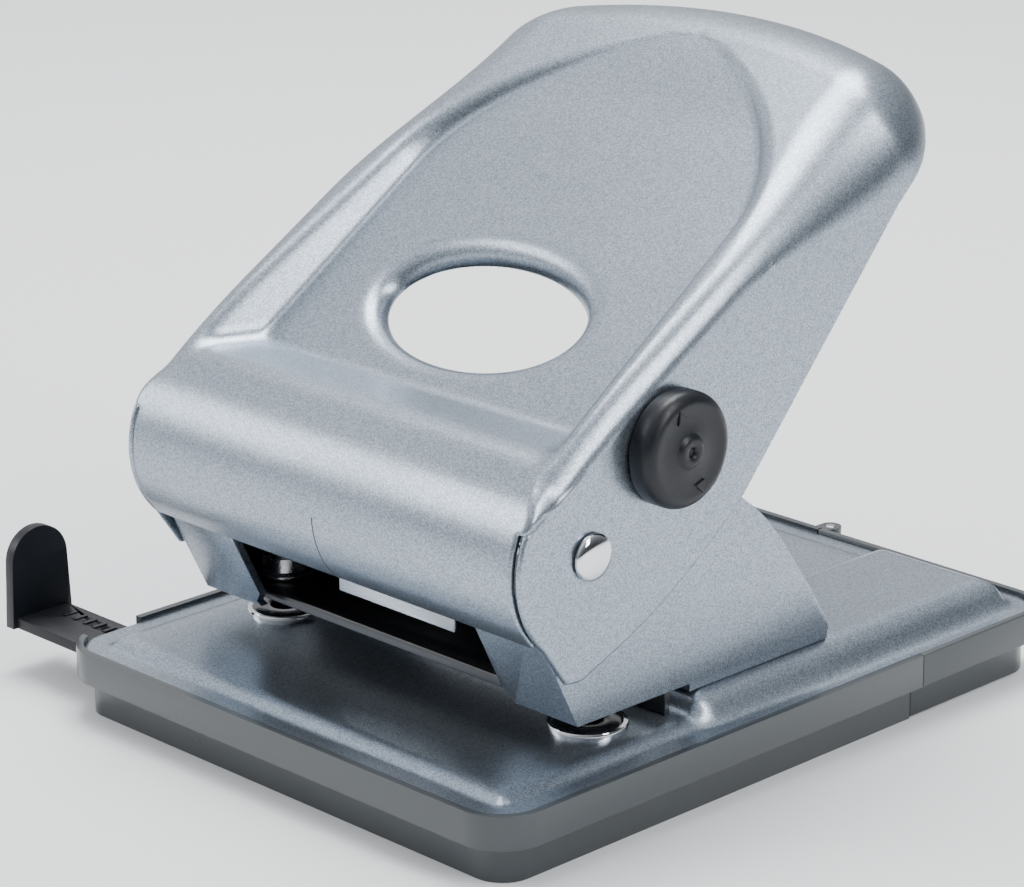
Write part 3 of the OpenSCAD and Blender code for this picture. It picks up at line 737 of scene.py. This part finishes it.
def plate_field(low, high, s, border_z, table_z, stop_y):
    """Distance to the base plate's sheet."""
    half_x, half_y = high.x, high.y
    deck_z = table_z + s.rise
    bottom = low.z
    in_x, in_y = half_x - s.border, half_y - s.border
    hole_r = 4.55
    dies = [sum(box_mm("die_" + side), Vector()) / 2 for side in ("left", "right")]

    def bank(d, z, foot, slope):
        """Distance to a bank that leans in by slope from its foot."""
        return (d + (z - foot) * slope) / math.sqrt(1 + slope * slope)

    def field(x, y, z):
        rim = rounded_rect(x, y, half_x, half_y, s.corner)
        slab = np.maximum(rim, z - border_z)
        inner = rounded_rect(x, y, in_x, in_y, s.corner - s.border)
        table = rounded_both(bank(inner, z, border_z - 1, 0.8), z - table_z, 2.6)
        across = np.abs(x)
        deck_plan = rounded_rect(across - (s.trough / 2 + in_x) / 2, y - (stop_y + 2 + in_y) / 2,
                                 (in_x - s.trough / 2) / 2, (in_y - stop_y - 2) / 2, 5.5)
        outer = bank(inner, z, border_z, 0.72)
        deck = rounded_both(soft_max(bank(deck_plan, z, border_z, 0.55), outer, 1.5),
                            z - deck_z, 2.6)
        body = soft_min(soft_min(slab, table, 0.6), deck, 1.6)
        sheet = np.abs(body + s.sheet / 2) - s.sheet / 2
        sheet = rounded_both(sheet, bottom - z, 0.3)
        for die in dies:
            sheet = np.maximum(sheet, hole_r - np.hypot(x - die.x, y - die.y))
        return sheet

    return field


class PUNCH_OT_base(bpy.types.Operator):
    """Makes the pressed base plate, the dies and the paper stop"""
    bl_idname = "punch.base"
    bl_label = "Base plate"

    def execute(self, context):
        s = in_mm(context.scene.punch_base)
        low, high = box_mm("base_plate")
        stop_y = box_mm("paper_stop")[0].y
        table_z = high.z - s.rise
        border_z = low.z + s.sheet
        step = 0.55
        field = plate_field(low, high, s, border_z, table_z, stop_y)
        points, quads = skin(field, low - Vector((1.5, 1.5, 1.5)), high + Vector((1.5, 1.5, 1.5)),
                             step)
        plate = mesh_object("pressed_plate", points, quads)
        paint(plate, silver_paint, "silver_paint")
        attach(plate, "base")
        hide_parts("base_plate")
        for side in ("left", "right"):
            self.die(side, table_z)
        trimmed("paper_stop", "stop_angle", 0.25, black_steel, "base")
        return {"FINISHED"}

    def die(self, side, table_z):
        low, high = box_mm("die_" + side)
        centre = (low + high) / 2
        r = (high.x - low.x) / 2
        rise = high.z - table_z
        bore, stem_r, stem_deep = 2.8, 4.45, 4
        rim_r = r - 0.9
        rim_h = rise * 0.72
        rim = [(rim_r, 0), (r, 0), (r, rise * 0.5), (r - 0.15, rim_h), (rim_r, rim_h), (rim_r, 0)]
        disc_r = rim_r - 0.02
        disc = [(bore, 0.1), (disc_r, 0.1), (disc_r, rim_h), (r - 1.25, rise - 0.08),
                (r - 1.5, rise), (bore + 0.45, rise), (bore + 0.1, rise - 0.12),
                (bore, rise - 0.45), (bore, 0.1)]
        place = (centre.x, centre.y, table_z)
        ring = lathe("die_rim_" + side, rim, place)
        paint(ring, chrome, "chrome")
        top = lathe("die_disc_" + side, disc, place)
        paint(top, black_steel, "black_steel", name="die_black", rough=0.12)
        stem = lathe("die_stem_" + side, [(bore, -stem_deep), (stem_r, -stem_deep),
                                          (stem_r, 0.05), (bore, 0.05), (bore, -stem_deep)], place)
        paint(stem, black_steel, "black_steel")
        for piece in (ring, top, stem):
            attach(piece, "base")
        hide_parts("die_" + side)


class PUNCH_OT_tray(bpy.types.Operator):
    """Makes the chip tray, its corner hatch and the hatch's pin"""
    bl_idname = "punch.tray"
    bl_label = "Chip tray"

    def execute(self, context):
        trimmed("chip_tray", "tray_moulding", 0.7, smoke_plastic, "base")
        trimmed("tray_hatch", "tray_corner_hatch", 0.35, smoke_plastic, "hatch")
        trimmed("hatch_pin", "hatch_hinge_pin", 0.2, bright_steel, "base")
        return {"FINISHED"}


# ---------------------------------------------------------------- frame, pivot, lock, guide


class PUNCH_OT_frame(bpy.types.Operator):
    """Makes the side walls, the bridge between them and the pivot"""
    bl_idname = "punch.frame"
    bl_label = "Frame"

    def execute(self, context):
        for node, name, width, maker in (
                ("frame", "frame_walls", 0.35, silver_paint),
                ("bridge", "bridge_channel", 0.4, black_steel),
                ("centre_lip", "bridge_centre_lip", 0.25, bright_steel),
                ("frame_screws", "foot_screws", 0.25, bright_steel),
                ("frame_nuts", "foot_nuts", 0.25, bright_steel),
                ("stop_rivets", "stop_angle_rivets", 0.25, bright_steel),
                ("guide_bush_left", "punch_bush_left", 0.25, bright_steel),
                ("guide_bush_right", "punch_bush_right", 0.25, bright_steel),
                ("guide_saddles", "guide_saddle_angles", 0.2, black_steel)):
            trimmed(node, name, width, maker, "base")
        self.pivot()
        return {"FINISHED"}

    def pivot(self):
        low, high = box_mm("pivot_pin")
        r = (high.y - low.y) / 2
        pin_r = 2.5
        height = high.x - box_mm("handle")[1].x - 0.3
        seat = high.x - height
        curve = [(r * math.cos(a), 0.35 + (height - 0.35) * math.sin(a))
                 for a in np.linspace(0, math.pi / 2, 14)]
        head = [(pin_r, low.x - seat), (pin_r, 0), (r - 0.3, 0), (r, 0.15), *curve[:-1],
                (0, height)]
        pin = lathe("pivot_pin_domed", [(0, low.x - seat), *head], (seat, PIVOT.y, PIVOT.z),
                    (0, math.pi / 2, 0))
        cap_low, cap_high = box_mm("pivot_cap")
        cap = [(0, height - 0.55), (pin_r - 0.1, height - 0.55), (pin_r + 0.05, 0), (r - 0.3, 0),
               (r, 0.15), *curve[:-1], (0, height)]
        left = lathe("pivot_cap_domed", cap, (cap_high.x, PIVOT.y, PIVOT.z), (0, -math.pi / 2, 0))
        for piece, node in ((pin, "pivot_pin"), (left, "pivot_cap")):
            paint(piece, chrome, "chrome")
            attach(piece, "base")
            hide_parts(node)
        trimmed("pivot_bushes", "pivot_bush_pair", 0.12, black_plastic, "base", "bush_plastic")


class PUNCH_OT_punches(bpy.types.Operator):
    """Makes the two punches with their spring seats and springs"""
    bl_idname = "punch.punches"
    bl_label = "Punches"

    def execute(self, context):
        for side, body in (("left", "punch_l"), ("right", "punch_r")):
            trimmed("punch_" + side, "punch_shank_" + side, 0.15, bright_steel, body)
            trimmed("seat_" + side, "spring_seat_" + side, 0.15, black_steel, body)
            coil = self.coil(side)
            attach(coil, body)
            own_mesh(coil)
        return {"FINISHED"}

    def coil(self, side, turns=3.5, wire=0.45, steps=28, round_steps=10):
        low, high = box_mm("spring_" + side)
        cx, cy = (low.x + high.x) / 2, (low.y + high.y) / 2
        r = 4.6
        z0, z1 = low.z + wire, high.z - wire
        n = int(turns * steps)
        points = []
        for i in range(n + 1):
            a = 2 * math.pi * i / steps
            z = z0 + (z1 - z0) * i / n
            for j in range(round_steps):
                b = 2 * math.pi * j / round_steps
                reach = r + wire * math.cos(b)
                points.append((cx + reach * math.cos(a), cy + reach * math.sin(a),
                               z + wire * math.sin(b)))
        faces = []
        for i in range(n):
            for j in range(round_steps):
                k = (j + 1) % round_steps
                faces.append((i * round_steps + j, (i + 1) * round_steps + j,
                              (i + 1) * round_steps + k, i * round_steps + k))
        faces.append(tuple(range(round_steps - 1, -1, -1)))
        faces.append(tuple(n * round_steps + j for j in range(round_steps)))
        obj = solid("return_spring_" + side, points, faces)
        face_outward(obj)
        smooth_by_angle(obj, 50)
        paint(obj, bright_steel, "bright_steel")
        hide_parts("spring_" + side)
        return obj


class PUNCH_OT_lock(bpy.types.Operator):
    """Makes the lock's knob, its shaft and its ring"""
    bl_idname = "punch.lock"
    bl_label = "Lock knob"

    def execute(self, context):
        low, high = box_mm("lock_knob")
        r = (high.y - low.y) / 2
        tall = high.x - low.x
        face = tall - 0.5
        edge = [(r - 2.2 + 2.2 * math.cos(a), face - 2.2 + 2.2 * math.sin(a))
                for a in np.linspace(0, math.pi / 2, 12)]
        profile = [(0, 0), (r - 0.5, 0), (r - 0.1, 0.3), (r, 0.7), *edge, (r - 3.0, face - 0.12),
                   (3.3, face - 0.25), (3.0, face - 0.1), (2.6, tall - 0.12), (2.2, tall),
                   (1.2, tall), (0.9, tall - 0.25), (0.7, tall - 0.7), (0, tall - 0.8)]
        place = (low.x, LOCK.y, LOCK.z)
        knob = lathe("lock_knob_turned", profile, place, (0, math.pi / 2, 0))
        paint(knob, black_plastic, "black_plastic")
        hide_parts("lock_knob")
        pieces = [knob]
        for i, angle in enumerate((20, 200)):
            pieces.append(self.arrow(f"lock_arrow_{i}", place, face, math.radians(angle)))
        for piece in pieces:
            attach(piece, "lock")
        trimmed("lock_shaft", "lock_shaft_flatted", 0.2, bright_steel, "lock")
        trimmed("lock_ring", "lock_spring_ring", 0.1, bright_steel, "lever")
        return {"FINISHED"}

    def arrow(self, name, place, face, angle):
        """A small raised wedge that shows a turning direction."""
        outline = [(-1.15, -0.9), (1.15, -0.9), (0, 1.3)]
        points = []
        for h, k in ((-0.3, 1.0), (0.12, 1.0), (0.22, 0.8)):
            for a, b in outline:
                a, b = a * k, b * k + 7.0
                y = a * math.cos(angle) - b * math.sin(angle)
                z = a * math.sin(angle) + b * math.cos(angle)
                points.append((place[0] + face + h, place[1] + y, place[2] + z))
        faces = [(2, 1, 0), (6, 7, 8)]
        for k in (0, 3):
            for i in range(3):
                j = (i + 1) % 3
                faces.append((k + i, k + j, k + 3 + j, k + 3 + i))
        obj = solid(name, points, faces)
        face_outward(obj)
        paint(obj, black_plastic, "black_plastic")
        return obj


class PUNCH_OT_guide(bpy.types.Operator):
    """Makes the pull-out paper guide"""
    bl_idname = "punch.guide"
    bl_label = "Paper guide"

    def execute(self, context):
        trimmed("paper_guide", "guide_bar_and_tab", 0.45, black_plastic, "guide")
        return {"FINISHED"}


# ---------------------------------------------------------------- stage


class PUNCH_OT_stage(bpy.types.Operator):
    """Lays the floor and sets up the lights and the camera"""
    bl_idname = "punch.stage"
    bl_label = "Studio"

    def execute(self, context):
        side = 6000.0
        floor = solid("studio_floor", [(-side, -side, 0), (side, -side, 0), (side, side, 0),
                                       (-side, side, 0)], [(0, 1, 2, 3)])
        paint(floor, studio_floor)
        self.sky(context.scene)
        for name, place, width, height, watts in (
                ("softbox_top", (-0.25, 0.25, 1.00), 0.55, 0.55, 12.0),
                ("softbox_left", (-1.1, -0.9, 0.75), 0.6, 0.7, 7.0),
                ("softbox_right", (0.85, 0.10, 0.78), 0.30, 0.9, 9.0)):
            self.softbox(name, place, width, height, watts)
        self.camera(context.scene)
        return {"FINISHED"}

    def sky(self, scene):
        """A soft grey dome, brighter above and to the left."""
        s = Shader("studio_sky", "worlds")
        lean = s.node("ShaderNodeVectorMath", {"operation": "DOT_PRODUCT"},
                      {0: s.node("ShaderNodeTexCoord"), 1: (-0.42, -0.10, 0.62)}, 1)
        fade = s.node("ShaderNodeValToRGB", {"stops": [
            (0.0, (0.06, 0.065, 0.07, 1)), (0.45, (0.36, 0.38, 0.40, 1)),
            (1.0, (1.3, 1.32, 1.36, 1))]}, {0: lean + 0.35})
        light = s.node("ShaderNodeBackground", None, {"Color": fade, "Strength": 0.9})
        s.node("ShaderNodeOutputWorld", None, {"Surface": light})
        scene.world = s.made

    def softbox(self, name, place, width, height, watts):
        lamp = bpy.data.lights.new(name, "AREA")
        lamp.shape = "RECTANGLE"
        lamp.size = width
        lamp.size_y = height
        lamp.energy = watts
        obj = put(name, lamp)
        obj.location = place
        aim = Vector((0, 0, 0.06)) - Vector(place)
        obj.rotation_euler = aim.to_track_quat("-Z", "Y").to_euler()

    def camera(self, scene):
        cam = bpy.data.cameras.new("studio_camera")
        cam.sensor_width = 36.0
        cam.lens = 130.62
        cam.shift_x = 0.0008
        cam.shift_y = 0.0076
        cam.clip_end = 20
        obj = put("studio_camera", cam)
        obj.location = (0.46101, -0.45441, 0.26135)
        obj.rotation_euler = Euler([math.radians(v) for v in (71.645, 0.611, 46.024)])
        scene.camera = obj


# ---------------------------------------------------------------- panel and run


PIECES = (PUNCH_OT_stage, PUNCH_OT_tray, PUNCH_OT_base, PUNCH_OT_frame, PUNCH_OT_punches,
          PUNCH_OT_lever, PUNCH_OT_lock, PUNCH_OT_guide)


class PUNCH_PT_panel(bpy.types.Panel):
    """Lists the sizes, the finishes and the pieces"""
    bl_idname = "PUNCH_PT_panel"
    bl_label = "Desk Punch"
    bl_space_type = "VIEW_3D"
    bl_region_type = "UI"
    bl_category = "Punch"

    def draw(self, context):
        for group in ("punch_lever", "punch_base", "punch_finish"):
            part = getattr(context.scene, group)
            for key in type(part).__annotations__:
                self.layout.prop(part, key)
        for piece in PIECES:
            self.layout.operator(piece.bl_idname)


GROUPS = {"punch_lever": LeverSizes, "punch_base": BaseSizes, "punch_finish": Finish}
CLASSES = (*GROUPS.values(), *PIECES, PUNCH_PT_panel)


def register():
    for cls in CLASSES:
        bpy.utils.register_class(cls)
    for name, group in GROUPS.items():
        setattr(bpy.types.Scene, name, bpy.props.PointerProperty(type=group))


def unregister():
    for name in GROUPS:
        delattr(bpy.types.Scene, name)
    for cls in reversed(CLASSES):
        bpy.utils.unregister_class(cls)


def main():
    register()
    for piece in PIECES:
        group, action = piece.bl_idname.split(".")
        getattr(getattr(bpy.ops, group), action)()


if __name__ == "__main__":
    main()
